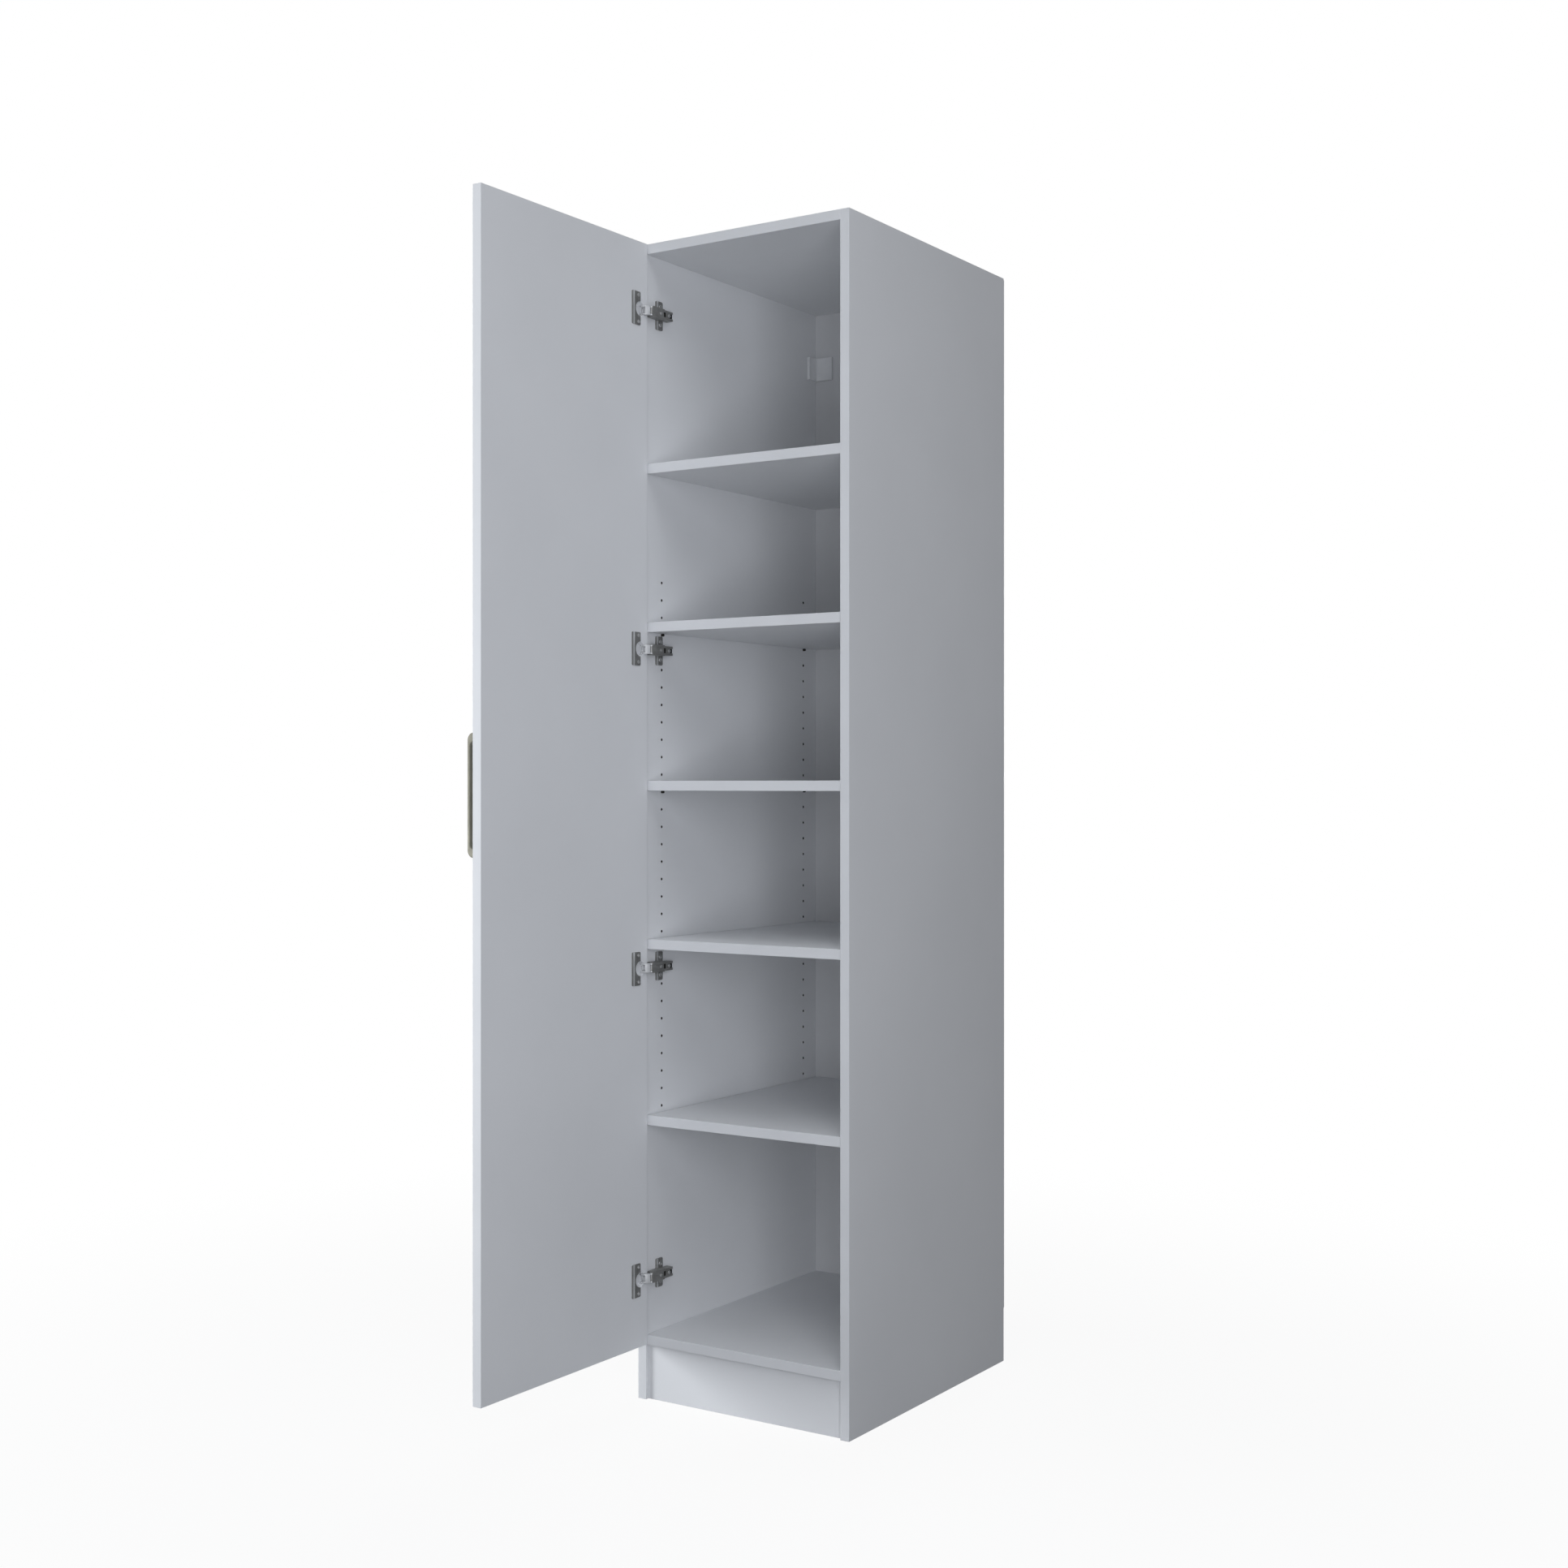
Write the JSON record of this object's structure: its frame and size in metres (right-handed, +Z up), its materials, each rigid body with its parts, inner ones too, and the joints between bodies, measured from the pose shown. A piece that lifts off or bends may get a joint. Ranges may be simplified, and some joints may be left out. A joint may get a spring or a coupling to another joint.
{
  "type": "wardrobe",
  "caption": "Tall narrow white wardrobe with one full-height hinged door, a bow handle, concealed cup hinges, and shelves on pins above a plinth.",
  "frame": {"origin": "on the floor at mid-width, under the front face of the plinth", "axes": "+Z up, +Y towards the back, +X to the right seen from the front; the door stands open at a right angle on the left"},
  "size_m": [0.4741, 1.0326, 2.1],
  "materials": {
    "white_board": "white melamine-faced chipboard, satin",
    "white_hardboard": "white-faced hardboard, satin",
    "beech": "raw beech",
    "zinc": "die-cast zinc",
    "hinge_nickel": "nickel-plated pressed steel, satin",
    "link_nickel": "nickel-plated steel, bright",
    "cover_plastic": "pale moulded plastic",
    "cap_plastic": "white moulded plastic",
    "handle_metal": "brushed, dark champagne colour",
    "fastener_steel": "zinc-plated steel",
    "pin_bronze": "bronzed steel"
  },
  "bodies": {
    "carcass": {"adjustable_shelf_1": "white_board", "adjustable_shelf_2": "white_board", "adjustable_shelf_3": "white_board", "adjustable_shelf_4": "white_board", "back_panel": "white_hardboard", "back_panel_screws": "fastener_steel", "bottom_panel": "white_board", "cam_bolts": "fastener_steel", "cam_housings": "zinc", "dowels": "beech", "fixed_shelf": "white_board", "hinge_1_arm": "hinge_nickel", "hinge_1_plate": "hinge_nickel", "hinge_2_arm": "hinge_nickel", "hinge_2_plate": "hinge_nickel", "hinge_3_arm": "hinge_nickel", "hinge_3_plate": "hinge_nickel", "hinge_4_arm": "hinge_nickel", "hinge_4_plate": "hinge_nickel", "hinge_arm_pins": "fastener_steel", "hinge_arm_screws": "fastener_steel", "hinge_plate_screws": "fastener_steel", "left_side": "white_board", "plinth": "white_board", "plinth_angle_screws": "fastener_steel", "plinth_angles": "fastener_steel", "right_side": "white_board", "shelf_pins": "pin_bronze", "top_panel": "white_board", "wall_angle_cover_left": "cover_plastic", "wall_angle_cover_right": "cover_plastic", "wall_angle_left": "fastener_steel", "wall_angle_right": "fastener_steel", "wall_angle_screws": "fastener_steel"},
    "outer_links": {"hinge_1_outer_link": "link_nickel", "hinge_2_outer_link": "link_nickel", "hinge_3_outer_link": "link_nickel", "hinge_4_outer_link": "link_nickel"},
    "inner_links": {"hinge_1_inner_link": "link_nickel", "hinge_2_inner_link": "link_nickel", "hinge_3_inner_link": "link_nickel", "hinge_4_inner_link": "link_nickel"},
    "door": {"door_panel": "white_board", "hinge_cup_pins": "fastener_steel", "hinge_cup_screws": "fastener_steel", "handle": "handle_metal", "handle_screws": "fastener_steel", "handle_screw_caps": "cap_plastic", "hinge_1_cup": "hinge_nickel", "hinge_2_cup": "hinge_nickel", "hinge_3_cup": "hinge_nickel", "hinge_4_cup": "hinge_nickel"}
  },
  "joints": [
    {"name": "outer_link_swing", "type": "hinge", "parent": "carcass", "child": "outer_links", "pos_m": [-0.19314, -0.01146, 1.1005], "axis": [0, 0, 1], "range_deg": [-38.6, 4.6]},
    {"name": "door_swing", "type": "hinge", "parent": "outer_links", "child": "door", "pos_m": [-0.20502, -0.02456, 1.1005], "axis": [0, 0, 1], "range_deg": [-14.26, 128.34]},
    {"name": "inner_link_swing", "type": "hinge", "parent": "door", "child": "inner_links", "pos_m": [-0.20631, -0.02034, 1.1005], "axis": [0, 0, 1], "range_deg": [-121.2, 13.8]}
  ],
  "couplings": [
    {"joint": "outer_link_swing", "follows": "door_swing", "ratio": -0.29874},
    {"joint": "inner_link_swing", "follows": "door_swing", "ratio": -0.9418}
  ]
}
